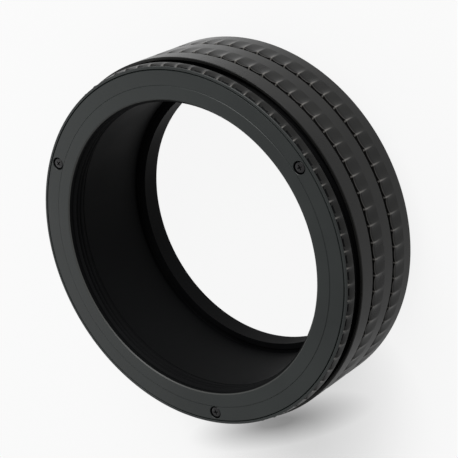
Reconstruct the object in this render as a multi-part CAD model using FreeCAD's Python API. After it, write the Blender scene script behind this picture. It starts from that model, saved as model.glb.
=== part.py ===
import FreeCAD, Part
import math
import os

# Helical focuser. A knurled ring turns on a fixed base and drives a keyed front tube out and in.
# Millimetres. The optical axis is Z, the rear thread points down and the origin is at its centre.

# Threads at both ends
thread_r = 32.5
thread_pitch = 1.0
thread_depth_per_pitch = 0.5413
front_thread_length = 4.9
rear_thread_length = 3.5
rear_wall = 1.9
thread_lead_in = 0.4
undercut_width = 0.8

# Focus ring
barrel_wall = 1.42
barrel_front_chamfer = 0.2
front_rim_wall = 0.65
front_recess_depth = 1.6
barrel_rear_chamfer = 0.3
knurl_count = 72
knurl_rows = 2
knurl_depth = 0.62
knurl_length = 3.5
knurl_groove = 1.0
ridge_front = 0.9
knurl_runout = 0.08
ridge_drop = 0.03
rear_band = 2.9
middle_band = 3.1
front_band = 4.3

# Front ring
front_ring_step = 0.55
front_ring_height = 2.41
front_knurl_depth = 0.75
lip_step = 0.35
lip_height = 0.25
lip_chamfer = 0.1
face_groove_step = 0.73
face_groove_width = 0.3
face_groove_depth = 0.3
rim_land = 2.5
seam_land = 1.5

# Front tube
relief_step = 0.1
helix_step = 1.2
collar_step = 0.6
collar_height = 1.5
nose_wall = 0.6
front_lip = 0.1
bore_chamfer = 0.15

# Base, plate and retaining ring
plate_step = 1.9
plate_height = 1.5
plate_recess = 0.6
ledge_width = 1.35
ledge_height = 0.4
hub_inner_wall = 1.05
hub_outer_wall = 1.0
flange_height = 1.4
retainer_height = 1.1
retainer_step = 0.27
slot_width = 2.0
slot_depth = 0.6

# Guide keys
key_count = 3
key_width = 4.0
key_thickness = 2.0
key_pocket = 0.4
key_top_gap = 1.2
key_top_edge = 0.3

# Screws
screw_count = 3
face_screw_head_r = 1.2
face_screw_head_height = 0.9
face_screw_rounding = 0.3
face_screw_sunk = 0.2
face_screw_shank_r = 0.7
face_screw_grip = 4.0
head_recess_gap = 0.2
cross_width = 0.35
cross_reach = 0.75
cross_depth = 0.5
cross_angles = (0.0, 90.0)
rear_screw_head_r = 1.8
rear_screw_head_height = 0.9
rear_screw_shank_r = 0.9
rear_screw_tip_gap = 0.4
key_screw_head_r = 1.3
key_screw_head_height = 0.9
key_screw_shank_r = 0.75
key_screw_grip = 4.0
lock_screw_r = 0.6
lock_screw_length = 0.9
lock_screw_slot_width = 0.25
lock_screw_slot_depth = 0.3
lock_screw_count = 2

# Clearances and travel
run_gap = 0.08
side_gap = 0.15
end_gap = 0.15
axial_play = 0.05
seat_gap = 0.02
nose_gap = 0.2
closed_gap = 0.52
rest_open = 1.48
travel = 10.0

# Angles
first_face_screw = 30.0
first_key = 90.0
first_rear_screw = 30.0
first_lock_screw = 90.0
barrel_first_ridge = 0.45
front_first_ridge = 2.2

# Radii that follow, from the bore outwards
rear_bore_r = thread_r - rear_wall
ledge_r = rear_bore_r + ledge_width
thread_minor_r = thread_r - thread_depth_per_pitch * thread_pitch
tube_bore_r = thread_r - relief_step
nose_r = tube_bore_r + nose_wall
hub_bore_r = nose_r + side_gap
key_inner_r = hub_bore_r + hub_inner_wall
key_outer_r = key_inner_r + key_thickness
key_centre_r = key_inner_r + key_thickness / 2
hub_r = key_outer_r + hub_outer_wall
helix_r = hub_r + helix_step
collar_r = helix_r + collar_step
barrel_bore_r = helix_r + run_gap
barrel_relief_r = collar_r + run_gap
retainer_wall_r = barrel_relief_r + retainer_step
retainer_r = retainer_wall_r - side_gap
lock_screw_place_r = retainer_wall_r - side_gap / 2
barrel_r = barrel_relief_r + barrel_wall
front_recess_r = barrel_r - front_rim_wall
plate_r = barrel_r - plate_step
front_ring_r = barrel_r - front_ring_step
lip_r = front_ring_r - lip_step
face_groove_r = lip_r - face_groove_step
face_screw_r = lip_r - rim_land
front_seam_r = face_screw_r - seam_land

# Heights that follow, from the rear upwards
barrel_length = rear_band + knurl_rows * (knurl_length + knurl_groove) + middle_band + front_band
plate_bottom = rear_thread_length
plate_top = plate_bottom + plate_height
ledge = plate_top - plate_recess
ledge_foot = ledge - ledge_height
nose_bottom = ledge_foot + nose_gap + rest_open
barrel_bottom = plate_top + axial_play
barrel_top = barrel_bottom + barrel_length
retainer_top = barrel_bottom + retainer_height
flange_bottom = retainer_top + axial_play
flange_top = flange_bottom + flange_height
collar_bottom = flange_top + end_gap + rest_open
collar_top = collar_bottom + collar_height
helix_bottom = collar_top + travel - rest_open + end_gap
tube_shoulder = barrel_top + closed_gap + rest_open
front_face = tube_shoulder + front_ring_height
key_bottom = flange_top - key_pocket
keyway_top = tube_shoulder - key_top_gap
key_top = keyway_top - rest_open - end_gap
lock_screw_top = barrel_bottom + seat_gap + lock_screw_length
full_turn = 360.0
nudge = 1.0

Z_AXIS = FreeCAD.Vector(0, 0, 1)
ORIGIN = FreeCAD.Vector(0, 0, 0)


def cylinder(radius, bottom, top, x=0.0, y=0.0):
    return Part.makeCylinder(radius, top - bottom, FreeCAD.Vector(x, y, bottom))


def turned(outline):
    # An outline of (radius, height) points, turned about the optical axis
    points = [FreeCAD.Vector(radius, 0, height) for radius, height in outline]
    face = Part.Face(Part.makePolygon(points + points[:1]))
    return face.revolve(ORIGIN, Z_AXIS, full_turn)


def around(shape, angle):
    # A copy of the shape, turned about the optical axis
    copy = shape.copy()
    copy.rotate(ORIGIN, Z_AXIS, angle)
    return copy


def fluted_wire(ridge_r, depth, height, first_ridge):
    # A closed ring of hollow arcs that meet in sharp ridges
    edges = []
    step = full_turn / knurl_count
    for index in range(knurl_count):
        points = []
        for part, radius in ((0.0, ridge_r), (0.5, ridge_r - depth), (1.0, ridge_r)):
            angle = math.radians(first_ridge + (index + part) * step)
            points.append(FreeCAD.Vector(radius * math.cos(angle), radius * math.sin(angle), height))
        edges.append(Part.Arc(*points).toShape())
    return Part.Wire(edges)


def knurl_cutter(outer_r, depth, bottom, top, first_ridge):
    # What is milled away: flutes that are deepest at the front and run out towards the rear
    rear_wire = fluted_wire(outer_r - ridge_drop, knurl_runout, bottom, first_ridge)
    front_wire = fluted_wire(outer_r - ridge_drop, depth, top, first_ridge)
    core = Part.makeLoft([rear_wire, front_wire], True, True)
    return cylinder(outer_r + nudge, bottom, top).cut(core)


def lock_screw_holes():
    # Holes on the thread line, half in the retaining ring and half in the focus ring
    hole = cylinder(lock_screw_r + seat_gap, barrel_bottom, lock_screw_top + seat_gap, lock_screw_place_r)
    opposite = around(hole, first_lock_screw + full_turn / lock_screw_count)
    return around(hole, first_lock_screw).fuse(opposite)


def make_focus_ring():
    ring = turned([
        (retainer_wall_r, barrel_bottom),
        (barrel_r - barrel_rear_chamfer, barrel_bottom),
        (barrel_r, barrel_bottom + barrel_rear_chamfer),
        (barrel_r, barrel_top - barrel_front_chamfer),
        (barrel_r - barrel_front_chamfer, barrel_top),
        (front_recess_r, barrel_top),
        (front_recess_r, barrel_top - front_recess_depth),
        (barrel_bore_r, barrel_top - front_recess_depth),
        (barrel_bore_r, helix_bottom),
        (barrel_relief_r, helix_bottom),
        (barrel_relief_r, retainer_top),
        (retainer_wall_r, retainer_top),
    ])
    row_bottom = barrel_bottom + rear_band
    for _ in range(knurl_rows):
        row_top = row_bottom + knurl_length
        groove_top = row_top + knurl_groove
        groove = turned([
            (barrel_r - knurl_depth, row_top),
            (barrel_r, row_top - ridge_front),
            (barrel_r + nudge, row_top - ridge_front),
            (barrel_r + nudge, groove_top),
            (barrel_r - knurl_depth, groove_top),
        ])
        flutes = knurl_cutter(barrel_r, knurl_depth, row_bottom, row_top, barrel_first_ridge)
        ring = ring.cut(flutes).cut(groove)
        row_bottom = groove_top + middle_band
    return ring.cut(lock_screw_holes())


def make_front_ring():
    lip_bottom = front_face - lip_height
    ring = turned([
        (front_seam_r + seat_gap, tube_shoulder),
        (front_ring_r, tube_shoulder),
        (front_ring_r, lip_bottom),
        (lip_r, lip_bottom),
        (lip_r, front_face - lip_chamfer),
        (lip_r - lip_chamfer, front_face),
        (face_groove_r + face_groove_width / 2, front_face),
        (face_groove_r, front_face - face_groove_depth),
        (face_groove_r - face_groove_width / 2, front_face),
        (front_seam_r + seat_gap, front_face),
    ])
    ring = ring.cut(knurl_cutter(
        front_ring_r, front_knurl_depth, tube_shoulder, lip_bottom, front_first_ridge))
    head_seat = front_face - face_screw_sunk - face_screw_head_height
    hole = cylinder(face_screw_shank_r + seat_gap, tube_shoulder, front_face, face_screw_r)
    hole = hole.fuse(cylinder(face_screw_head_r + head_recess_gap, head_seat, front_face, face_screw_r))
    for index in range(screw_count):
        ring = ring.cut(around(hole, first_face_screw + index * full_turn / screw_count))
    return ring


def make_front_tube():
    tube_top = front_face + front_lip
    thread_bottom = front_face - front_thread_length
    tube = turned([
        (tube_bore_r, nose_bottom),
        (nose_r, nose_bottom),
        (nose_r, collar_bottom),
        (collar_r, collar_bottom),
        (collar_r, collar_top),
        (helix_r, collar_top),
        (helix_r, tube_shoulder),
        (front_seam_r, tube_shoulder),
        (front_seam_r, tube_top),
        (thread_r + bore_chamfer, tube_top),
        (thread_minor_r, tube_top - bore_chamfer - thread_r + thread_minor_r),
        (thread_minor_r, thread_bottom),
        (tube_bore_r, thread_bottom),
    ])
    keyway = Part.makeBox(
        collar_r, key_width + 2 * run_gap, keyway_top - collar_bottom,
        FreeCAD.Vector(key_inner_r - run_gap, -key_width / 2 - run_gap, collar_bottom))
    for index in range(key_count):
        tube = tube.cut(around(keyway, first_key + index * full_turn / key_count))
    shank_bottom = tube_shoulder - face_screw_grip
    hole = cylinder(face_screw_shank_r + seat_gap, shank_bottom - seat_gap, tube_shoulder, face_screw_r)
    for index in range(screw_count):
        tube = tube.cut(around(hole, first_face_screw + index * full_turn / screw_count))
    return tube


def make_face_screw():
    head_bottom = front_face - face_screw_sunk - face_screw_head_height
    head_top = head_bottom + face_screw_head_height
    screw = cylinder(face_screw_head_r, head_bottom, head_top, face_screw_r)
    rim = [edge for edge in screw.Edges if abs(edge.BoundBox.ZMin - head_top) < seat_gap and edge.Closed]
    screw = screw.makeFillet(face_screw_rounding, rim)
    shank_bottom = tube_shoulder - face_screw_grip
    screw = screw.fuse(cylinder(face_screw_shank_r, shank_bottom, head_bottom, face_screw_r))
    for angle in cross_angles:
        slot = Part.makeBox(2 * cross_reach, cross_width, cross_depth)
        slot.translate(FreeCAD.Vector(-cross_reach, -cross_width / 2, head_top - cross_depth))
        slot.rotate(ORIGIN, Z_AXIS, angle)
        slot.translate(FreeCAD.Vector(face_screw_r, 0, 0))
        screw = screw.cut(slot)
    return screw


def make_retaining_ring():
    ring = turned([
        (hub_r + run_gap, barrel_bottom),
        (retainer_r, barrel_bottom),
        (retainer_r, retainer_top),
        (hub_r + run_gap, retainer_top),
    ])
    slots = Part.makeBox(
        2 * barrel_r, slot_width, slot_depth,
        FreeCAD.Vector(-barrel_r, -slot_width / 2, barrel_bottom))
    return ring.cut(slots).cut(lock_screw_holes())


def make_lock_screw():
    bottom = barrel_bottom + seat_gap
    screw = cylinder(lock_screw_r, bottom, lock_screw_top, lock_screw_place_r)
    slot = Part.makeBox(
        2 * lock_screw_r, lock_screw_slot_width, lock_screw_slot_depth,
        FreeCAD.Vector(lock_screw_place_r - lock_screw_r, -lock_screw_slot_width / 2, bottom))
    return screw.cut(slot)


def make_base_ring():
    ring = turned([
        (hub_bore_r, plate_top),
        (hub_r, plate_top),
        (hub_r, flange_bottom),
        (collar_r, flange_bottom),
        (collar_r, flange_top),
        (hub_bore_r, flange_top),
    ])
    pocket = Part.makeBox(
        key_thickness + 2 * seat_gap, key_width + 2 * seat_gap, key_pocket,
        FreeCAD.Vector(key_inner_r - seat_gap, -key_width / 2 - seat_gap, key_bottom))
    head_top = flange_bottom + seat_gap
    key_hole = cylinder(key_screw_head_r + seat_gap, plate_top, head_top, key_centre_r)
    key_hole = key_hole.fuse(cylinder(key_screw_shank_r + seat_gap, head_top, key_bottom, key_centre_r))
    for index in range(key_count):
        angle = first_key + index * full_turn / key_count
        ring = ring.cut(around(pocket.fuse(key_hole), angle))
    rear_hole = cylinder(
        rear_screw_shank_r + seat_gap, plate_top, flange_top - rear_screw_tip_gap + seat_gap, key_centre_r)
    for index in range(screw_count):
        ring = ring.cut(around(rear_hole, first_rear_screw + index * full_turn / screw_count))
    return ring


def make_rear_mount():
    mount = turned([
        (rear_bore_r, 0),
        (thread_r - thread_lead_in, 0),
        (thread_r, thread_lead_in),
        (thread_r, plate_bottom - undercut_width),
        (thread_minor_r, plate_bottom - undercut_width),
        (thread_minor_r, plate_bottom - thread_r + thread_minor_r),
        (thread_r, plate_bottom),
        (plate_r - thread_lead_in, plate_bottom),
        (plate_r, plate_bottom + thread_lead_in),
        (plate_r, plate_top),
        (hub_bore_r, plate_top),
        (hub_bore_r, ledge_foot),
        (ledge_r, ledge_foot),
        (ledge_r, ledge),
        (rear_bore_r, ledge),
    ])
    cone = Part.makeCone(
        rear_screw_head_r + seat_gap, rear_screw_shank_r + seat_gap, rear_screw_head_height,
        FreeCAD.Vector(key_centre_r, 0, plate_bottom))
    hole = cone.fuse(cylinder(rear_screw_shank_r + seat_gap, plate_bottom, plate_top, key_centre_r))
    for index in range(screw_count):
        mount = mount.cut(around(hole, first_rear_screw + index * full_turn / screw_count))
    return mount


def make_rear_screw():
    head = Part.makeCone(
        rear_screw_head_r, rear_screw_shank_r, rear_screw_head_height,
        FreeCAD.Vector(key_centre_r, 0, plate_bottom))
    tip = flange_top - rear_screw_tip_gap
    screw = head.fuse(cylinder(rear_screw_shank_r, plate_bottom, tip, key_centre_r))
    for angle in cross_angles:
        slot = Part.makeBox(2 * cross_reach, cross_width, cross_depth)
        slot.translate(FreeCAD.Vector(-cross_reach, -cross_width / 2, plate_bottom))
        slot.rotate(ORIGIN, Z_AXIS, angle)
        slot.translate(FreeCAD.Vector(key_centre_r, 0, 0))
        screw = screw.cut(slot)
    return screw


def make_guide_key():
    key = Part.makeBox(
        key_thickness, key_width, key_top - key_bottom,
        FreeCAD.Vector(key_inner_r, -key_width / 2, key_bottom))
    top_edges = [edge for edge in key.Edges if abs(edge.BoundBox.ZMin - key_top) < seat_gap]
    key = key.makeChamfer(key_top_edge, top_edges)
    hole_top = key_bottom + key_screw_grip + seat_gap
    return key.cut(cylinder(key_screw_shank_r + seat_gap, key_bottom, hole_top, key_centre_r))


def make_key_screw():
    head_top = flange_bottom
    screw = cylinder(key_screw_head_r, head_top - key_screw_head_height, head_top, key_centre_r)
    return screw.fuse(cylinder(key_screw_shank_r, head_top, key_bottom + key_screw_grip, key_centre_r))


def save(name, shape):
    solid = shape.removeSplitter()
    solid = solid.Solids[0] if len(solid.Solids) == 1 else solid
    if not solid.isValid():
        print("not valid:", name)
    print(name, "solids", len(solid.Solids), "volume", round(solid.Volume, 2))
    solid.exportStep("parts/" + name + ".step")


def save_around(name, shape, count, first_angle):
    for index in range(count):
        angle = first_angle + index * full_turn / count
        save(name + "_" + str(index + 1), around(shape, angle))


os.makedirs("parts", exist_ok=True)
save("rear_mount", make_rear_mount())
save("base_ring", make_base_ring())
save("retaining_ring", make_retaining_ring())
save("focus_ring", make_focus_ring())
save("front_tube", make_front_tube())
save("front_ring", make_front_ring())
save_around("face_screw", make_face_screw(), screw_count, first_face_screw)
save_around("lock_screw", make_lock_screw(), lock_screw_count, first_lock_screw)
save_around("rear_screw", make_rear_screw(), screw_count, first_rear_screw)
save_around("guide_key", make_guide_key(), key_count, first_key)
save_around("key_screw", make_key_screw(), key_count, first_key)
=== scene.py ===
# %% [markdown]
# # A helical focuser in black anodised aluminium
#
# A helical focuser sits between a lens and a camera. Turning its knurled barrel drives a
# threaded tube out along the optical axis without turning it. This lesson dresses the
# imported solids: each turned ring is spun again at full resolution, knurled, threaded and
# given its finish. The solids stay where they are and say how large everything is.

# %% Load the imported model
import bmesh
import bpy
import math
from mathutils import Matrix, Vector


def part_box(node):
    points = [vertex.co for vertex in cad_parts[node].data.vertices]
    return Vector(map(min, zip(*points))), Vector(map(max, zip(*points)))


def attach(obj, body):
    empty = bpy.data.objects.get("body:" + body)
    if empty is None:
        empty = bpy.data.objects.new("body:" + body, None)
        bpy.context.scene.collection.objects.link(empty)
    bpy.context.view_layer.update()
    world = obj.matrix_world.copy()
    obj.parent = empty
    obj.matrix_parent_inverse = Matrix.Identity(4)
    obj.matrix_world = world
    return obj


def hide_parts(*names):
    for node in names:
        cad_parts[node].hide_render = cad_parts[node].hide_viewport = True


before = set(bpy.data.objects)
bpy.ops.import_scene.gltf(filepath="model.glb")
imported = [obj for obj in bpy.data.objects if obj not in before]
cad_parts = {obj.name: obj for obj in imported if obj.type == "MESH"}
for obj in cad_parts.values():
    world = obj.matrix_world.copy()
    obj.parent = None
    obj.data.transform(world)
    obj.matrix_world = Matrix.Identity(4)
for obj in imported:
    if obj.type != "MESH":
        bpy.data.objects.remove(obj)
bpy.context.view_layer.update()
mm = 0.001

# %% [markdown]
# ## Sizes come from the solids
#
# Every ring lies round the optical axis, which is Z. The sizes could be typed in again, but
# a ring's box already gives its outer radius and its two heights, so nothing is measured
# twice. The radius is rounded to a hundredth of a millimetre because a round solid arrives
# as flat facets, and its box can be a hair small.


# %% Read a ring's outer radius and heights
def ring_size(node):
    low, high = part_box(node)
    radius = round(max(high.x, high.y, -low.x, -low.y) / mm, 2) * mm
    return radius, low.z, high.z


barrel_r, barrel_bottom, barrel_top = ring_size("focus_ring")
thumb_r, thumb_bottom, thumb_top = ring_size("front_ring")
tube_r, tube_bottom, tube_top = ring_size("front_tube")
plate_r, plate_bottom, plate_top = ring_size("rear_mount")
for label, size in (("barrel", (barrel_r, barrel_bottom, barrel_top)),
                    ("thumb ring", (thumb_r, thumb_bottom, thumb_top)),
                    ("tube", (tube_r, tube_bottom, tube_top)),
                    ("rear plate", (plate_r, plate_bottom, plate_top))):
    print(label, "radius and heights in mm:", [round(value / mm, 2) for value in size])

# %% [markdown]
# ## The camera first
#
# The photograph looks down into the front of the focuser, and the picture is turned so that
# the optical axis runs from the upper right to the lower left. The view could be nudged by
# eye, but the circles of the bore, the face and the barrel fix it better: where the camera
# stands, how long its lens is and how far it is rolled. Setting the camera before modelling
# lets each piece be compared as it is made.

# %% Place the camera at the photograph's viewpoint
view_azimuth = math.radians(24.14)
view_elevation = math.radians(48.447)
view_roll = math.radians(118.172)
view_distance = 334.94 * mm
aim_point = Vector((0.723 * mm, 0.061 * mm, 14.4 * mm))
sensor_width = 36.0
focal_length = 121.54


def direction(azimuth, elevation):
    # The unit vector from the centre towards a camera or a lamp
    return Vector((
        math.cos(elevation) * math.cos(azimuth),
        math.cos(elevation) * math.sin(azimuth),
        math.sin(elevation)))


towards_camera = direction(view_azimuth, view_elevation)
camera_data = bpy.data.cameras.new("photo_camera")
camera_data.sensor_width = sensor_width
camera_data.lens = focal_length
camera = bpy.data.objects.new("photo_camera", camera_data)
bpy.context.scene.collection.objects.link(camera)
upright = towards_camera.to_track_quat("Z", "Y").to_matrix()
rolled = upright @ Matrix.Rotation(-view_roll, 3, "Z")
camera.matrix_world = Matrix.Translation(aim_point + view_distance * towards_camera) @ rolled.to_4x4()
bpy.context.scene.camera = camera
print("camera at mm:", [round(value / mm, 1) for value in camera.matrix_world.translation])

# %% [markdown]
# ## Helpers for node materials
#
# A finish is a small graph of nodes. Building it node by node in every material would hide
# what it does, so the moves that come back have a helper each: a noise, a value spread from
# one range to another, two colours mixed, and a bump.


# %% Helpers that start a material and vary a value over it
def new_material(name):
    material = bpy.data.materials.new(name)
    material.use_nodes = True
    nodes = material.node_tree.nodes
    return material, nodes, material.node_tree.links, nodes["Principled BSDF"]


def noise(nodes, links, place, scale, detail):
    texture = nodes.new("ShaderNodeTexNoise")
    texture.inputs["Scale"].default_value = scale
    texture.inputs["Detail"].default_value = detail
    links.new(place, texture.inputs["Vector"])
    return texture.outputs["Fac"]


def spread(nodes, links, source, low, high, low_out, high_out):
    ranger = nodes.new("ShaderNodeMapRange")
    ranger.inputs["From Min"].default_value = low
    ranger.inputs["From Max"].default_value = high
    ranger.inputs["To Min"].default_value = low_out
    ranger.inputs["To Max"].default_value = high_out
    links.new(source, ranger.inputs["Value"])
    return ranger.outputs["Result"]


# %% Helpers that mix colours, raise a bump and set a shader's sockets
def mix_colours(nodes, links, share, first, second):
    # Each colour is a tuple to set or a socket to link
    mixed = nodes.new("ShaderNodeMix")
    mixed.data_type = "RGBA"
    for socket, colour in (("A", first), ("B", second)):
        if isinstance(colour, tuple):
            mixed.inputs[socket].default_value = (*colour, 1.0)
        else:
            links.new(colour, mixed.inputs[socket])
    links.new(share, mixed.inputs["Factor"])
    return mixed.outputs["Result"]


def bump(nodes, links, height, strength, distance, under=None):
    raised = nodes.new("ShaderNodeBump")
    raised.inputs["Strength"].default_value = strength
    raised.inputs["Distance"].default_value = distance
    links.new(height, raised.inputs["Height"])
    if under is not None:
        links.new(under, raised.inputs["Normal"])
    return raised.outputs["Normal"]


def set_sockets(material, values):
    shader = material.node_tree.nodes["Principled BSDF"]
    for socket, value in values.items():
        shader.inputs[socket].default_value = value


# %% [markdown]
# ## Black anodised aluminium
#
# The rings are turned, blasted with fine beads and anodised black. Blasting leaves a satin
# skin with a very small grain, the dye is a little uneven, and fine turning rings still show
# on flat faces when light grazes them. The attribute called ridge marks the sharpest edges
# with a paler tint, which stands partly for dye that hands rub off and partly for a painted
# highlight. A picture could carry all this, but nodes need no file and read Object
# coordinates, so the grain keeps its real size on every ring. One builder makes the finish,
# and each piece asks for its own depth of black, gloss and grain; the deepest blacks in
# grooves and hollows are painted shade.

# %% The skin that turning and blasting leave
grain_scale = 4200.0
grain_detail = 2.0
grain_height = 0.012 * mm
turning_scale = 420.0
turning_waver = 1.5
turning_strength = 0.35
turning_height = 0.004 * mm
print("height of the grain in mm:", round(grain_height / mm, 3))


def turned_and_blasted(nodes, links, place, grain):
    rings = nodes.new("ShaderNodeTexWave")
    rings.wave_type = "RINGS"
    rings.rings_direction = "Z"
    rings.inputs["Scale"].default_value = turning_scale
    rings.inputs["Distortion"].default_value = turning_waver
    links.new(place, rings.inputs["Vector"])
    turned = bump(nodes, links, rings.outputs["Fac"], turning_strength, turning_height)
    speckle = noise(nodes, links, place, grain_scale, grain_detail)
    return bump(nodes, links, speckle, grain, grain_height, under=turned)


# %% The anodised finish, with its uneven dye and its pale tint of rubbed dye and painted highlight
cloud_scale = 70.0
cloud_detail = 4.0
cloud_patches = (0.35, 0.65)
satin_patches = (0.3, 0.7)
satin_swing = 0.05
# The pale tint stands partly for dye rubbed off the crests and partly paints highlights on edges.
worn_and_highlight_tint = (0.12, 0.115, 0.108)
worn_and_highlight_from = 0.2
print("colour where the dye is rubbed off:", worn_and_highlight_tint)


def anodised(name, dark, light, satin, reflection, grain, brushing=0.0):
    material, nodes, links, shader = new_material(name)
    place = nodes.new("ShaderNodeTexCoord").outputs["Object"]
    cloud = noise(nodes, links, place, cloud_scale, cloud_detail)
    tint = mix_colours(nodes, links, spread(nodes, links, cloud, *cloud_patches, 0.0, 1.0), dark, light)
    ridges = nodes.new("ShaderNodeAttribute")
    ridges.attribute_name = "ridge"
    rubbed_and_highlit = spread(nodes, links, ridges.outputs["Fac"], worn_and_highlight_from, 1.0, 0.0, 1.0)
    links.new(mix_colours(nodes, links, rubbed_and_highlit, tint, worn_and_highlight_tint), shader.inputs["Base Color"])
    gloss = spread(nodes, links, cloud, *satin_patches, satin - satin_swing, satin + satin_swing)
    links.new(gloss, shader.inputs["Roughness"])
    links.new(turned_and_blasted(nodes, links, place, grain), shader.inputs["Normal"])
    shader.inputs["Specular IOR Level"].default_value = reflection
    if brushing:
        lathe = nodes.new("ShaderNodeTangent")
        lathe.direction_type = "RADIAL"
        lathe.axis = "Z"
        links.new(lathe.outputs["Tangent"], shader.inputs["Tangent"])
        shader.inputs["Anisotropic"].default_value = brushing
    return material


# %% Give each kind of surface its own finish
face_black = anodised(
    "face_black", (0.0075, 0.0095, 0.0092), (0.011, 0.0135, 0.013),
    satin=0.42, reflection=0.22, grain=0.5, brushing=0.3)
barrel_black = anodised(
    "barrel_black", (0.0055, 0.0055, 0.0052), (0.009, 0.009, 0.0085),
    satin=0.30, reflection=0.15, grain=0.5)
# The dull bore black is the inside's own finish, and on the thumb ring it also paints shade into the flute
# hollows.
bore_black = anodised(
    "bore_black", (0.0017, 0.0018, 0.002), (0.0026, 0.0028, 0.003),
    satin=0.55, reflection=0.04, grain=0.6)
# The groove finish is painted shade: a darker, duller black for the narrow grooves.
groove_painted_shade = anodised(
    "groove_painted_shade", (0.0032, 0.0032, 0.003), (0.0048, 0.0048, 0.0046),
    satin=0.50, reflection=0.03, grain=0.4)
thread_black = anodised(
    "thread_black", (0.006, 0.006, 0.0058), (0.010, 0.010, 0.0095),
    satin=0.40, reflection=0.14, grain=0.3)
screw_black = anodised(
    "screw_black", (0.010, 0.010, 0.0105), (0.016, 0.016, 0.0165),
    satin=0.32, reflection=0.3, grain=0.2)
key_brass = anodised(
    "key_brass", (0.45, 0.32, 0.12), (0.62, 0.47, 0.22),
    satin=0.34, reflection=0.5, grain=0.2)
set_sockets(barrel_black, {"Sheen Weight": 0.08, "Sheen Roughness": 0.3})
set_sockets(screw_black, {"Metallic": 0.5})
set_sockets(key_brass, {"Metallic": 1.0})
finishes = (face_black, barrel_black, bore_black, groove_painted_shade, thread_black, screw_black, key_brass)
print("finishes:", [finish.name for finish in finishes])

# %% [markdown]
# ## Small parts that keep their own shape
#
# The base ring, the keys and a few screws sit inside, where only a slot or a gap shows them.
# They could be modelled again, but their solids already have the right form there, so only
# the material in their slots changes.

# %% Finish the small parts
kept_finishes = {
    "base_ring": bore_black, "retaining_ring": thread_black, "guide_key": key_brass,
    "key_screw": screw_black, "lock_screw": screw_black}
for node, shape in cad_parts.items():
    for family, finish in kept_finishes.items():
        if node.startswith(family):
            for material_slot in shape.material_slots:
                material_slot.material = finish
print("small parts finished:", sorted(kept_finishes))

# %% [markdown]
# ## Turning a ring
#
# A lathe cuts a ring by following an outline while the work turns. Stacked cylinders could
# stand in for it, but every joint between them would have to be closed by hand. The spin
# operator works as the lathe does: a closed outline of corners is swept round the axis.
# Bevelling the outline's corners before the spin breaks every edge of the ring at once, as a
# deburring pass does. Only one flute's share of the turn is spun. It can be shaped on its
# own, and is then repeated round the axis like work on a dividing head, first eight times
# and then nine.

# %% A helper that draws a closed outline
origin = Vector((0.0, 0.0, 0.0))
axis = Vector((0.0, 0.0, 1.0))


def closed_outline(points):
    bm = bmesh.new()
    corners = [bm.verts.new((radius, 0.0, height)) for radius, height in points]
    for index, corner in enumerate(corners):
        bm.edges.new((corner, corners[(index + 1) % len(corners)]))
    return bm


# %% A helper that turns the outline into a ring
flute_count = 72
flute_pitch = math.tau / flute_count
flute_columns = 12
repeats = (8, 9)
weld = 1e-6
print("columns round a full ring:", flute_count * flute_columns)


def turn(points, edge_break, divide=None, press=None):
    # divide works on the outline before it is spun, and press on one flute's sector after it
    bm = closed_outline(points)
    bmesh.ops.bevel(
        bm, geom=bm.verts[:], offset=edge_break, offset_type="OFFSET", segments=2, profile=0.5,
        affect="VERTICES", material=-1, clamp_overlap=True)
    bm.verts.layers.float.new("ridge")
    if divide:
        divide(bm)
    bmesh.ops.spin(
        bm, geom=bm.verts[:] + bm.edges[:], cent=origin, axis=axis, dvec=origin,
        angle=flute_pitch, steps=flute_columns)
    if press:
        press(bm)
    sector = flute_pitch
    for count in repeats:
        bmesh.ops.spin(
            bm, geom=bm.verts[:] + bm.edges[:] + bm.faces[:], cent=origin, axis=axis, dvec=origin,
            angle=sector * (count - 1), steps=count - 1, use_duplicate=True)
        sector *= count
    bmesh.ops.remove_doubles(bm, verts=bm.verts, dist=weld)
    bmesh.ops.recalc_face_normals(bm, faces=bm.faces)
    return bm


# %% [markdown]
# ## Finishing a ring
#
# A ring has more than one finish: its bore is duller than its grip, and its grooves are
# painted darker as shade. The faces could be picked by number, but numbers change with
# every edit, so they are picked by radius and height, as on a drawing. Smooth shading then
# hides the columns.
# An edge that runs round the axis is a corner that the tool cut, so it stays crisp at a much
# smaller angle than the soft sides of a flute.


# %% Helpers that choose faces and corners by their place
def between(value, low, high):
    return low - weld < value < high + weld


def refinish(bm, index, inner_r, outer_r, bottom, top):
    # The faces whose middles lie between these radii and heights take another finish
    for face in bm.faces:
        middle = face.calc_center_median()
        if between(middle.xy.length, inner_r, outer_r) and between(middle.z, bottom, top):
            face.material_index = index


def paint_highlight(bm, amount, inner_r, outer_r, bottom, top):
    # Corners between these radii and heights take this share of the pale tint, as a painted highlight
    ridge = bm.verts.layers.float["ridge"]
    for vert in bm.verts:
        if between(vert.co.xy.length, inner_r, outer_r) and between(vert.co.z, bottom, top):
            vert[ridge] = amount


# %% Helpers that shade a shape and hand it to the frame
sharp_angle = math.radians(20.0)
crease_angle = math.radians(4.0)


def smooth_limit(edge):
    # How far an edge may bend and still be shaded smooth
    start, end = edge.verts
    level = abs(start.co.z - end.co.z) < weld
    round_axis = abs(start.co.xy.length - end.co.xy.length) < weld
    return crease_angle if level and round_axis else sharp_angle


def new_object(bm, name):
    mesh = bpy.data.meshes.new(name)
    bm.to_mesh(mesh)
    bm.free()
    item = bpy.data.objects.new(name, mesh)
    bpy.context.scene.collection.objects.link(item)
    return item


def finish_shape(bm, name, materials, body, node):
    for face in bm.faces:
        face.smooth = True
    for edge in bm.edges:
        edge.smooth = len(edge.link_faces) == 2 and edge.calc_face_angle() < smooth_limit(edge)
    open_edges = sum(1 for edge in bm.edges if len(edge.link_faces) != 2)
    piece = new_object(bm, name)
    for material in materials:
        piece.data.materials.append(material)
    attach(piece, body)
    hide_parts(node)
    print(name, "faces:", len(piece.data.polygons), "open edges:", open_edges)
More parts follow.
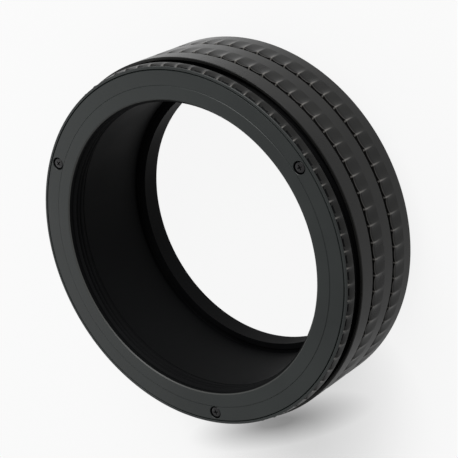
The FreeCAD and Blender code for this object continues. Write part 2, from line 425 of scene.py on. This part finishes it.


# %% [markdown]
# ## Knurling
#
# Each grip row is a ring of shallow hollow flutes that meet in sharp ridges. The cutter goes
# in at a narrow groove in front of the row and runs out towards the rear, so the ridges stop
# in the open at the front and melt into the plain band behind. Seventy-two Boolean cutters
# could do this, but they leave ragged faces. Here the columns of one flute are crowded
# towards its ridges, and then the skin is pressed in towards the groove's floor. The flute
# is nearly flat across its middle and rises steeply beside the ridges. The ridge crests take
# a pale tint that is partly rubbed dye and partly a painted highlight, and a thin line along
# the row's front takes the same tint as a painted highlight.

# %% Helpers that shape one flute from ridge to ridge
ridge_crowding = 0.085
flute_squareness = 2.6
worn_and_highlight_columns = 2


def crowded(share):
    return share - ridge_crowding * math.sin(math.tau * share)


def flute_depth_share(share):
    # 0 on a ridge's narrow land, rising to 1 in the middle of the flute
    land = crowded(1.0 / flute_columns)
    across = abs(share - 0.5) / (0.5 - land)
    return max(0.0, 1.0 - across ** flute_squareness)


def crest_share(share):
    # 1 on the ridge, falling to 0 where its columns of rubbed dye and painted highlight end
    return 1.0 - min(1.0, min(share, 1.0 - share) / crowded(worn_and_highlight_columns / flute_columns))


flute_shares = [column / flute_columns for column in range(flute_columns // 2 + 1)]
print("depth from the ridge to mid-flute:", [round(flute_depth_share(crowded(s)), 2) for s in flute_shares])

# %% A helper that knurls the sector of one flute
row_step = 0.5 * mm
row_slack = 0.01 * mm
edge_reach = 0.1 * mm


def knurler(radius, floor, depth, rows, first_ridge, front_highlight=0.0, hurry=1.0):
    # Returns the two steps that cut these (bottom, top) rows down towards a floor radius
    def in_row(height, bottom, top):
        return bottom - row_slack < height < top + row_slack

    def divide(bm):
        for bottom, top in rows:
            long_edges = [
                edge for edge in bm.edges
                if edge.calc_length() > row_step and all(
                    vert.co.x > floor - row_slack and in_row(vert.co.z, bottom, top)
                    for vert in edge.verts)]
            for edge in long_edges:
                bmesh.ops.subdivide_edges(bm, edges=[edge], cuts=int(edge.calc_length() / row_step))

    def press(bm):
        ridge = bm.verts.layers.float["ridge"]
        for vert in bm.verts:
            out = vert.co.xy.length
            rise = (out - floor) / (radius - floor)
            share = crowded(math.atan2(vert.co.y, vert.co.x) / flute_pitch)
            angle = first_ridge + share * flute_pitch
            for bottom, top in rows:
                if rise > 0.0 and in_row(vert.co.z, bottom, top):
                    along = min(1.0, max(0.0, vert.co.z - bottom) / (top - bottom)) ** hurry
                    out -= depth * along * flute_depth_share(share) * rise
                    # The row's front edge takes the pale tint as a painted highlight, and the crests take
                    # it as rubbed dye and painted highlight.
                    front_edge = front_highlight if row_slack < top - vert.co.z < edge_reach else 0.0
                    vert[ridge] = max(crest_share(share) * along, front_edge)
            vert.co.xy = (out * math.cos(angle), out * math.sin(angle))

    return divide, press


# %% [markdown]
# ## The focusing barrel
#
# The barrel is one turned ring. From the rear it has a plain band, a grip row with its
# groove, a second band, a second grip row and a front band. A thin rim stands round its
# front, and the recess inside the rim shows as the wide black gap behind the thumb ring.
# The two rows are alike, so a loop writes both into the outline. The front of a row drops a
# little before its groove, which keeps a dark line between the row and the band. The groove
# itself takes a darker black, which is painted shade.

# %% The barrel's sizes
flute_depth = 0.38 * mm
groove_depth = 0.8 * mm
groove_width = 1.35 * mm
row_step_depth = 0.12 * mm
row_front_highlight = 0.36
knurl_rows = 2
knurl_length = 3.4 * mm
ridge_front = 0.5 * mm
rear_band = 2.9 * mm
middle_band = 3.1 * mm
front_chamfer = 0.1 * mm
rear_chamfer = 0.3 * mm
rim_wall = 0.65 * mm
recess_depth = 1.6 * mm
helix_length = 4.95 * mm
helix_bore_r = 38.48 * mm
relief_bore_r = 39.08 * mm
retainer_height = 1.1 * mm
retainer_wall_r = 39.35 * mm
barrel_first_ridge = math.radians(0.45)
fine_edge = 0.06 * mm
groove_floor_r = barrel_r - groove_depth
print("radius of the grooves in mm:", round(groove_floor_r / mm, 2))

# %% The barrel's outline
barrel_outline = [
    (retainer_wall_r, barrel_bottom),
    (barrel_r - rear_chamfer, barrel_bottom),
    (barrel_r, barrel_bottom + rear_chamfer),
]
barrel_rows = []
row_bottom = barrel_bottom + rear_band
for _ in range(knurl_rows):
    row_top = row_bottom + knurl_length
    barrel_rows.append((row_bottom, row_top))
    barrel_outline += [
        (barrel_r, row_bottom),
        (barrel_r, row_top - ridge_front),
        (barrel_r - row_step_depth, row_top),
        (groove_floor_r, row_top),
        (groove_floor_r, row_top + groove_width),
        (barrel_r, row_top + groove_width),
    ]
    row_bottom = row_top + groove_width + middle_band
barrel_outline += [
    (barrel_r, barrel_top - front_chamfer),
    (barrel_r - front_chamfer, barrel_top),
    (barrel_r - rim_wall, barrel_top),
    (barrel_r - rim_wall, barrel_top - recess_depth),
    (helix_bore_r, barrel_top - recess_depth),
    (helix_bore_r, barrel_top - helix_length),
    (relief_bore_r, barrel_top - helix_length),
    (relief_bore_r, barrel_bottom + retainer_height),
    (retainer_wall_r, barrel_bottom + retainer_height),
]
print("grip rows from and to mm:", [[round(z / mm, 2) for z in row] for row in barrel_rows])

# %% Turn and knurl the barrel
barrel = turn(
    barrel_outline, fine_edge,
    *knurler(barrel_r, groove_floor_r, flute_depth, barrel_rows, barrel_first_ridge, row_front_highlight))
refinish(barrel, 1, helix_bore_r, barrel_r - rim_wall, barrel_bottom, barrel_top - fine_edge)
# The grooves in front of the rows take the darker groove black as painted shade.
for bottom, top in barrel_rows:
    refinish(barrel, 2, groove_floor_r, barrel_r - row_step_depth, top - weld, top + groove_width)
finish_shape(
    barrel, "knurled_barrel", [barrel_black, bore_black, groove_painted_shade],
    "barrel", "focus_ring")

# %% [markdown]
# ## Drilling
#
# Holes could be built into the mesh column by column, but subtracting them is simpler and
# leaves true round walls. A drill is a stepped round plug with a slight flare at its mouth,
# so that each hole keeps a fine countersunk rim. A Boolean modifier cuts the drills from the
# ring, and its result is taken back as a plain mesh.


# %% Helpers that cut and join shapes
def subtract(bm, cutter):
    blank = new_object(bm, "blank")
    tool = new_object(cutter, "tool")
    cut = blank.modifiers.new("cut", "BOOLEAN")
    cut.operation = "DIFFERENCE"
    cut.solver = "EXACT"
    cut.object = tool
    graph = bpy.context.evaluated_depsgraph_get()
    cut_mesh = bpy.data.meshes.new_from_object(blank.evaluated_get(graph))
    result = bmesh.new()
    result.from_mesh(cut_mesh)
    used = [blank.data, tool.data, cut_mesh]
    bpy.data.objects.remove(blank)
    bpy.data.objects.remove(tool)
    for mesh in used:
        bpy.data.meshes.remove(mesh)
    return result


def add_shape(bm, part):
    mesh = bpy.data.meshes.new("part")
    part.to_mesh(mesh)
    part.free()
    bm.from_mesh(mesh)
    bpy.data.meshes.remove(mesh)


# %% Helpers that make a drill and place it
plug_columns = 48


def round_plug(bm, centre, levels):
    # A solid of revolution through the given (radius, height) levels, moved to the centre
    part = bmesh.new()
    closed = [(0.0, levels[0][1])] + levels + [(0.0, levels[-1][1])]
    corners = [part.verts.new((radius, 0.0, height)) for radius, height in closed]
    for pair in zip(corners, corners[1:]):
        part.edges.new(pair)
    bmesh.ops.spin(
        part, geom=part.verts[:] + part.edges[:], cent=origin, axis=axis, dvec=origin,
        angle=math.tau, steps=plug_columns, use_merge=True)
    bmesh.ops.remove_doubles(part, verts=part.verts, dist=weld)
    bmesh.ops.recalc_face_normals(part, faces=part.faces)
    bmesh.ops.translate(part, verts=part.verts, vec=centre)
    add_shape(bm, part)


def on_circle(radius, angle, height):
    return Vector((radius * math.cos(angle), radius * math.sin(angle), height))


def spaced_angles(first, count):
    return [first + index * math.tau / count for index in range(count)]


# %% [markdown]
# ## The thumb ring
#
# The front ring is held on the tube by three small screws in counterbored holes. A thin
# smooth lip borders its face, with a fine groove just inside. The ridges rise from the lip's
# radius, so that they never stand out past it from the front. The flutes are deepest right
# behind the lip, where their hollows stay dark, and they run out at the rear edge. It is
# turned and knurled like the barrel, with deeper flutes, and its hollows are picked by
# radius and given the dullest black as painted shade.

# %% The thumb ring's sizes
screw_count = 3
screw_ring_r = 37.1 * mm
screw_angles = spaced_angles(math.radians(30.0), screw_count)
screw_hole_r = 0.72 * mm
head_recess_r = 1.4 * mm
head_recess_depth = 1.1 * mm
recess_flare = 0.08 * mm
lip_step = 0.35 * mm
lip_height = 0.25 * mm
lip_chamfer = 0.1 * mm
lip_undercut = 0.06 * mm
crest_rise = 0.8 * mm
thumb_flute_depth = 0.95 * mm
thumb_flute_hurry = 1.6
thumb_hollow_shade_depth = 0.45 * mm
thumb_first_ridge = math.radians(2.2)
face_groove_r = 38.87 * mm
face_groove_width = 0.3 * mm
face_groove_depth = 0.3 * mm
seam_r = 35.62 * mm
overrun = 0.5 * mm
lip_r = thumb_r - lip_step
lip_bottom = thumb_top - lip_height
hollow_top = lip_bottom - lip_undercut
print("lip radius in mm:", round(lip_r / mm, 2))

# %% Turn and knurl the thumb ring
thumb_outline = [
    (seam_r, thumb_bottom),
    (thumb_r, thumb_bottom),
    (thumb_r, hollow_top - crest_rise),
    (lip_r, hollow_top),
    (lip_r, lip_bottom),
    (lip_r, thumb_top - lip_chamfer),
    (lip_r - lip_chamfer, thumb_top),
    (face_groove_r + face_groove_width / 2, thumb_top),
    (face_groove_r, thumb_top - face_groove_depth),
    (face_groove_r - face_groove_width / 2, thumb_top),
    (seam_r, thumb_top),
]
thumb = turn(
    thumb_outline, fine_edge / 2,
    *knurler(
        thumb_r, face_groove_r, thumb_flute_depth, [(thumb_bottom, hollow_top)], thumb_first_ridge,
        hurry=thumb_flute_hurry))
print("corners before drilling:", len(thumb.verts))

# %% Drill and finish the thumb ring
drills = bmesh.new()
for angle in screw_angles:
    round_plug(drills, on_circle(screw_ring_r, angle, thumb_top), [
        (screw_hole_r, thumb_bottom - thumb_top - overrun),
        (screw_hole_r, -head_recess_depth),
        (head_recess_r, -head_recess_depth),
        (head_recess_r, -recess_flare),
        (head_recess_r + recess_flare, 0.0),
        (head_recess_r + recess_flare, overrun),
    ])
thumb = subtract(thumb, drills)
refinish(thumb, 1, seam_r, thumb_r, thumb_bottom, lip_bottom)
# The deep flute hollows take the dull bore black as painted shade.
refinish(thumb, 2, seam_r, thumb_r - thumb_hollow_shade_depth, thumb_bottom, lip_bottom)
finish_shape(
    thumb, "knurled_thumb_ring", [face_black, barrel_black, bore_black],
    "front", "front_ring")

# %% [markdown]
# ## Threads
#
# A thread is a ridge that climbs as it goes round. Stacked plain rings would look alike from
# far away, but they never climb and never end. Here a small trapezium is spun with a lift at
# every step, which gives a coil, and the coil's two ends sink into the wall. The front bore
# has an inward ridge and the rear spigot an outward one, both with 1 mm from turn to turn.
# The focusing thread has eight starts and climbs 12 mm in one turn, so that a third of a
# turn of the barrel moves the tube 4 mm.

# %% A helper that winds a thread ridge
ridge_foot = 0.44
ridge_crest = 0.07
ridge_sunk = 0.04 * mm
sink_steps = 8
steps_in_turn = 120


def wind_ridge(bm, root_r, crest_r, bottom, top, spacing, lead, start_angle=0.0):
    outward = 1.0 if crest_r > root_r else -1.0
    foot = ridge_foot * spacing
    crest = ridge_crest * spacing
    points = [
        (root_r - outward * ridge_sunk, bottom),
        (crest_r, bottom + foot - crest),
        (crest_r, bottom + foot + crest),
        (root_r - outward * ridge_sunk, bottom + 2 * foot),
    ]
    coil = closed_outline(points)
    steps = int((top - bottom - 2 * foot) / lead * steps_in_turn)
    bmesh.ops.spin(
        coil, geom=coil.verts[:] + coil.edges[:], cent=origin, axis=axis,
        dvec=Vector((0.0, 0.0, lead / steps_in_turn)), angle=math.tau * steps / steps_in_turn, steps=steps)
    coil.verts.ensure_lookup_table()
    for index, vert in enumerate(coil.verts):
        ring = index // len(points)
        rise = min(1.0, ring / sink_steps, (steps - ring) / sink_steps)
        out = vert.co.xy.length
        if outward * (out - root_r) > 0.0:
            vert.co.xy *= (root_r - outward * ridge_sunk / 2 + (out - root_r) * rise) / out
    bmesh.ops.holes_fill(coil, edges=coil.edges, sides=len(points))
    bmesh.ops.rotate(coil, verts=coil.verts, cent=origin, matrix=Matrix.Rotation(start_angle, 3, "Z"))
    bmesh.ops.recalc_face_normals(coil, faces=coil.faces)
    add_shape(bm, coil)


# %% [markdown]
# ## The front tube
#
# The tube slides without turning, because three keys stand in the slots in its side. Its
# bore is what the camera looks into, and its mouth catches the light on a small chamfer, which
# also carries a painted highlight in the pale tint. The slots are cut from the tube and from
# the wound ridges apart, because a Boolean is only sure of shapes that don't pass through
# each other.

# %% The tube's sizes
thread_major_r = 32.5 * mm
thread_minor_r = 31.96 * mm
thread_spacing = 1.0 * mm
relief_r = 32.4 * mm
nose_r = 33.0 * mm
nose_depth = 3.55 * mm
collar_height = 1.5 * mm
helix_r = 38.4 * mm
helix_root_r = 37.7 * mm
helix_starts = 8
helix_lead = 12.0 * mm
helix_end_land = 0.25 * mm
front_thread_length = 4.9 * mm
mouth_chamfer = 0.25 * mm
mouth_painted_highlight = 0.35
tube_seam_r = 35.6 * mm
seam_chamfer = 0.12 * mm
key_count = 3
key_angles = spaced_angles(math.radians(90.0), key_count)
key_slot_width = 4.16 * mm
key_slot_r = 34.12 * mm
key_slot_end = 1.2 * mm
screw_depth = 4.02 * mm
collar_bottom = tube_bottom + nose_depth
collar_top = collar_bottom + collar_height
thread_bottom = thumb_top - front_thread_length
print("depth of a thread in mm:", round((thread_major_r - thread_minor_r) / mm, 2))

# %% Turn the tube
tube_outline = [
    (relief_r, tube_bottom),
    (nose_r, tube_bottom),
    (nose_r, collar_bottom),
    (tube_r, collar_bottom),
    (tube_r, collar_top),
    (helix_root_r, collar_top),
    (helix_root_r, thumb_bottom - helix_end_land),
    (helix_r, thumb_bottom - helix_end_land),
    (helix_r, thumb_bottom),
    (tube_seam_r, thumb_bottom),
    (tube_seam_r, tube_top - seam_chamfer),
    (tube_seam_r - seam_chamfer, tube_top),
    (thread_major_r + mouth_chamfer, tube_top),
    (thread_major_r, tube_top - mouth_chamfer),
    (thread_major_r, thread_bottom),
    (relief_r, thread_bottom),
]
tube = turn(tube_outline, fine_edge / 2)
print("corners of the turned tube:", len(tube.verts))


# %% Cut the keyways and screw holes
def key_slots():
    slots = bmesh.new()
    height = thumb_bottom - key_slot_end - collar_bottom + overrun
    for angle in key_angles:
        slot = bmesh.new()
        bmesh.ops.create_cube(slot, size=1.0)
        bmesh.ops.scale(slot, verts=slot.verts, vec=(tube_r, key_slot_width, height))
        middle = Vector((key_slot_r + tube_r / 2, 0.0, collar_bottom - overrun + height / 2))
        bmesh.ops.translate(slot, verts=slot.verts, vec=middle)
        bmesh.ops.rotate(slot, verts=slot.verts, cent=origin, matrix=Matrix.Rotation(angle, 3, "Z"))
        add_shape(slots, slot)
    return slots


cutters = key_slots()
for angle in screw_angles:
    round_plug(cutters, on_circle(screw_ring_r, angle, thumb_bottom), [
        (screw_hole_r, -screw_depth), (screw_hole_r, overrun)])
tube = subtract(tube, cutters)
print("corners of the cut tube:", len(tube.verts))

# %% Wind the tube's threads and finish it
ridges = bmesh.new()
for start_angle in spaced_angles(0.0, helix_starts):
    wind_ridge(
        ridges, helix_root_r, helix_r, collar_top, thumb_bottom - helix_end_land,
        helix_lead / helix_starts, helix_lead, start_angle)
add_shape(tube, subtract(ridges, key_slots()))
wind_ridge(
    tube, thread_major_r, thread_minor_r, thread_bottom + thread_spacing / 4,
    tube_top - mouth_chamfer - thread_spacing / 4, thread_spacing, thread_spacing)
refinish(tube, 1, thread_major_r, tube_seam_r, tube_top - mouth_chamfer, tube_top)
# The mouth chamfer takes the pale tint as a painted highlight.
paint_highlight(tube, mouth_painted_highlight, thread_major_r, thread_major_r + mouth_chamfer, tube_top - mouth_chamfer, tube_top)
finish_shape(tube, "threaded_front_tube", [bore_black, face_black], "front", "front_tube")

# %% [markdown]
# ## The rear mount
#
# The rear ring carries the outward thread that screws into the camera side. A relief groove
# lies between the thread and its shoulder, and three countersunk screws hold the ring. It is
# turned, drilled and threaded as the front tube is, so that both ends match. Only its bore
# and its ledge show from the front, and they take the dull black of the tube's bore.

# %% The rear mount's sizes and outline
rear_bore_r = 30.6 * mm
spigot_height = 3.5 * mm
spigot_chamfer = 0.4 * mm
relief_width = 0.8 * mm
ledge_r = 31.95 * mm
ledge_top = 4.4 * mm
ledge_foot = 4.0 * mm
base_bore_r = 33.15 * mm
rear_screw_ring_r = 35.2 * mm
rear_screw_head_r = 1.82 * mm
rear_screw_hole_r = 0.92 * mm
rear_screw_head_height = 0.9 * mm
thread_depth = thread_major_r - thread_minor_r
rear_outline = [
    (rear_bore_r, plate_bottom),
    (thread_minor_r, plate_bottom),
    (thread_minor_r, spigot_height - thread_depth),
    (thread_major_r, spigot_height),
    (plate_r - spigot_chamfer, spigot_height),
    (plate_r, spigot_height + spigot_chamfer),
    (plate_r, plate_top),
    (base_bore_r, plate_top),
    (base_bore_r, ledge_foot),
    (ledge_r, ledge_foot),
    (ledge_r, ledge_top),
    (rear_bore_r, ledge_top),
]
print("corners of the rear outline:", len(rear_outline))

# %% Turn the rear mount, sink its screw holes and wind its thread
rear = turn(rear_outline, fine_edge)
sinks = bmesh.new()
for angle in screw_angles:
    round_plug(sinks, on_circle(rear_screw_ring_r, angle, spigot_height), [
        (rear_screw_head_r, -overrun),
        (rear_screw_head_r, 0.0),
        (rear_screw_hole_r, rear_screw_head_height),
        (rear_screw_hole_r, plate_top - spigot_height + overrun),
    ])
rear = subtract(rear, sinks)
wind_ridge(
    rear, thread_minor_r, thread_major_r, plate_bottom + spigot_chamfer / 2,
    spigot_height - relief_width, thread_spacing, thread_spacing)
refinish(rear, 1, rear_bore_r, rear_bore_r, plate_bottom, plate_top)
refinish(rear, 1, rear_bore_r, base_bore_r, ledge_foot, plate_top)
finish_shape(rear, "threaded_rear_mount", [thread_black, bore_black], "base", "rear_mount")

# %% [markdown]
# ## Screws
#
# The face screws are tiny cap screws with a soft dome and a cross recess. The rear screws
# have flat countersunk heads. Both start as round solids from one list of radii and heights.
# The cross could be one plus-shaped bit, but two tapered bits, cut one after the other, make
# it from plain blocks. No two crosses stand at the same angle, as on a real face.

# %% Helpers that make a screw with a cross recess
cross_width = 0.35 * mm
cross_reach = 0.75 * mm
cross_depth = 0.5 * mm
cross_taper = 0.55


def cross_bit(centre, upward, turned):
    bit = bmesh.new()
    bmesh.ops.create_cube(bit, size=1.0)
    bmesh.ops.scale(bit, verts=bit.verts, vec=(2 * cross_reach, cross_width, 2 * cross_depth))
    tip = [vert for vert in bit.verts if vert.co.z * upward < 0.0]
    bmesh.ops.scale(bit, verts=tip, vec=(cross_taper, cross_taper, 1.0))
    bmesh.ops.rotate(bit, verts=bit.verts, cent=origin, matrix=Matrix.Rotation(turned, 3, "Z"))
    bmesh.ops.translate(bit, verts=bit.verts, vec=centre)
    return bit


def make_screw(name, centre, levels, upward, turned, body, node):
    screw = bmesh.new()
    round_plug(screw, centre, levels)
    for quarter in (0.0, math.pi / 2):
        screw = subtract(screw, cross_bit(centre, upward, turned + quarter))
    finish_shape(screw, name, [screw_black], body, node)


# %% Make the screws
face_head_r = 1.2 * mm
face_head_height = 0.9 * mm
face_sunk = 0.2 * mm
face_shank_r = 0.7 * mm
screw_grip = 4.0 * mm
rear_tip_height = 7.2 * mm
rear_clearance = 0.02 * mm
dome_steps = 5
dome_height = 0.3 * mm
cross_turns = (0.35, 0.7, 0.15)

face_levels = [
    (face_shank_r, -screw_grip - thumb_top + thumb_bottom + face_sunk),
    (face_shank_r, -face_head_height),
    (face_head_r, -face_head_height),
]
for step in range(dome_steps + 1):
    swing = math.pi / 2 * step / dome_steps
    face_levels.append((
        face_head_r - dome_height * (1.0 - math.cos(swing)), dome_height * (math.sin(swing) - 1.0)))
rear_levels = [
    (rear_screw_head_r - rear_clearance, 0.0),
    (rear_screw_hole_r - rear_clearance, rear_screw_head_height),
    (rear_screw_hole_r - rear_clearance, rear_tip_height - spigot_height),
]
for number, (angle, turned) in enumerate(zip(screw_angles, cross_turns), start=1):
    make_screw(
        "face_cap_screw_%d" % number, on_circle(screw_ring_r, angle, thumb_top - face_sunk),
        face_levels, 1.0, turned, "front", "face_screw_%d" % number)
    make_screw(
        "rear_flat_screw_%d" % number, on_circle(rear_screw_ring_r, angle, spigot_height),
        rear_levels, -1.0, turned, "base", "rear_screw_%d" % number)

# %% [markdown]
# ## A white floor
#
# The focuser stands on its rear end on a white floor. Strong lamps could make the floor
# white, but they would bleach the black rings. Instead the floor glows white for the camera
# and in reflections, and stays plain paint for all other light, so the object's shadow still
# falls on it. The photograph shows the ring on its rim, where it throws a soft shadow to one
# side. Three soft marks are painted shadow and shade: less glow where the shadow lies, a dark
# streak of painted contact shadow where the rim touches, and a dim patch of painted shade that
# only reflections see. Inside the ring's foot the floor glows brighter, a painted light that
# takes away the ring's own shadow there. All of these stay at fixed places on the floor and
# belong to the stage, never to the object.


# %% Helpers that join values and tell what sees a surface
def combine(nodes, links, operation, first, second):
    joined = nodes.new("ShaderNodeMath")
    joined.operation = operation
    links.new(first, joined.inputs[0])
    links.new(second, joined.inputs[1])
    return joined.outputs["Value"]


def distance_from(nodes, links, place, centre):
    apart = nodes.new("ShaderNodeVectorMath")
    apart.operation = "DISTANCE"
    apart.inputs[1].default_value = centre
    links.new(place, apart.inputs[0])
    return apart.outputs["Value"]


def seen_directly(nodes, links):
    # 1 for the camera, for reflections and through glass, and 0 for the light on the object
    rays = nodes.new("ShaderNodeLightPath").outputs
    camera_or_gloss = combine(nodes, links, "MAXIMUM", rays["Is Camera Ray"], rays["Is Glossy Ray"])
    seen = combine(nodes, links, "MAXIMUM", camera_or_gloss, rays["Is Transmission Ray"])
    return rays, seen


# %% How strongly the floor glows at each place, with painted light and painted shadow
bore_glow = 0.97
bore_glow_inner = 33.0 * mm
bore_glow_outer = 38.0 * mm
shade_centre = (0.0, -54.0 * mm, 0.0)
shade_inner = 5.0 * mm
shade_outer = 38.0 * mm
shade_glow = 0.25
open_glow = 0.92

floor_material, nodes, links, shader = new_material("white_floor")
nodes.remove(shader)
rays, seen = seen_directly(nodes, links)
place = nodes.new("ShaderNodeTexCoord").outputs["Object"]
# Inside the ring's foot the floor glows brighter: painted light that takes away the ring's own shadow seen
# through the bore.
bore_painted_light = spread(
    nodes, links, distance_from(nodes, links, place, origin),
    bore_glow_inner, bore_glow_outer, bore_glow, 0.0)
# The glow drops round the shade centre: a painted shadow beside the ring.
in_open = spread(
    nodes, links, distance_from(nodes, links, place, shade_centre),
    shade_inner, shade_outer, shade_glow, open_glow)
glow_here = combine(nodes, links, "MAXIMUM", bore_painted_light, in_open)
print("the floor glows from", shade_glow, "to", bore_glow)

# %% Paint a contact shadow under the rim and a shade patch seen only in reflections
contact_centre = (-6.5 * mm, -53.0 * mm, 0.0)
contact_turn = math.radians(17.0)
contact_stretch = 5.0
contact_inner = 1.0 * mm
contact_outer = 6.0 * mm
contact_dark = 0.35
patch_centre = (30.0 * mm, -40.0 * mm, 0.0)
patch_inner = 15.0 * mm
patch_outer = 70.0 * mm
patch_dark = 0.35

along_streak = nodes.new("ShaderNodeMapping")
along_streak.vector_type = "TEXTURE"
along_streak.inputs["Location"].default_value = contact_centre
along_streak.inputs["Rotation"].default_value = (0.0, 0.0, contact_turn)
along_streak.inputs["Scale"].default_value = (contact_stretch, 1.0, 1.0)
links.new(place, along_streak.inputs["Vector"])
# A painted contact shadow: a dark streak on the floor under the rim.
painted_contact_shadow = spread(
    nodes, links, distance_from(nodes, links, along_streak.outputs["Vector"], origin),
    contact_inner, contact_outer, contact_dark, 1.0)
# A painted shade patch that only reflections see, which darkens the floor mirrored in the barrel's lower
# side.
painted_reflection_shade = spread(
    nodes, links, distance_from(nodes, links, place, patch_centre),
    patch_inner, patch_outer, patch_dark, 1.0)
reflected = nodes.new("ShaderNodeMix")
reflected.data_type = "FLOAT"
reflected.inputs["A"].default_value = 1.0
links.new(rays["Is Glossy Ray"], reflected.inputs["Factor"])
links.new(painted_reflection_shade, reflected.inputs["B"])
kept = combine(nodes, links, "MULTIPLY", painted_contact_shadow, reflected.outputs["Result"])
print("the streak and the patch keep", contact_dark, "and", patch_dark, "of the white")

# %% Mix the floor's paint with its glow
paint_white = 0.9
glow_strength = 0.94
floor_reach = 6.0

white = nodes.new("ShaderNodeVectorMath")
white.operation = "SCALE"
white.inputs[0].default_value = (paint_white, paint_white, paint_white)
links.new(kept, white.inputs["Scale"])
paint = nodes.new("ShaderNodeBsdfDiffuse")
links.new(white.outputs["Vector"], paint.inputs["Color"])
glow = nodes.new("ShaderNodeEmission")
glow.inputs["Strength"].default_value = glow_strength
shown = combine(nodes, links, "MULTIPLY", kept, seen)
blend = nodes.new("ShaderNodeMixShader")
links.new(combine(nodes, links, "MULTIPLY", shown, glow_here), blend.inputs["Fac"])
links.new(paint.outputs["BSDF"], blend.inputs[1])
links.new(glow.outputs["Emission"], blend.inputs[2])
links.new(blend.outputs["Shader"], nodes["Material Output"].inputs["Surface"])

floor_shape = bmesh.new()
bmesh.ops.create_grid(floor_shape, x_segments=1, y_segments=1, size=floor_reach)
floor = new_object(floor_shape, "floor")
floor.data.materials.append(floor_material)
print("floor size in m:", [round(side, 1) for side in floor.dimensions.xy])

# %% [markdown]
# ## Light
#
# The photograph was lit softly from all round, with a stronger glow from one side that draws
# a grey sheen along the barrel. The white world gives the even light. It is plain for the
# object and pure white to the camera. One large lamp adds the sheen and a weak one keeps the
# far side from going dead. Small lamps would be easier to place, but they draw hard spots on
# satin black.

# %% The white world
world_strength = 0.66

world = bpy.data.worlds.new("white_world")
bpy.context.scene.world = world
world.use_nodes = True
nodes, links = world.node_tree.nodes, world.node_tree.links
_, seen = seen_directly(nodes, links)
sky = nodes["Background"]
sky.inputs["Color"].default_value = (1.0, 1.0, 1.0, 1.0)
links.new(spread(nodes, links, seen, 0.0, 1.0, world_strength, 1.0), sky.inputs["Strength"])
print("world strength on the object:", world_strength)


# %% Soft lamps
def soft_lamp(name, azimuth, elevation, distance, size, power):
    data = bpy.data.lights.new(name, "AREA")
    data.shape = "SQUARE"
    data.size = size
    data.energy = power
    lamp = bpy.data.objects.new(name, data)
    bpy.context.scene.collection.objects.link(lamp)
    outward = direction(azimuth, elevation)
    facing = outward.to_track_quat("Z", "Y").to_matrix().to_4x4()
    lamp.matrix_world = Matrix.Translation(outward * distance) @ facing
    print(name, "power in W:", power)


lamp_elevation = math.radians(32.0)
soft_lamp("key_lamp", math.radians(82.0), lamp_elevation, distance=0.8, size=0.5, power=7.5)
soft_lamp("side_lamp", math.radians(190.0), lamp_elevation, distance=0.45, size=0.25, power=0.3)
bpy.context.scene.view_settings.view_transform = "Standard"
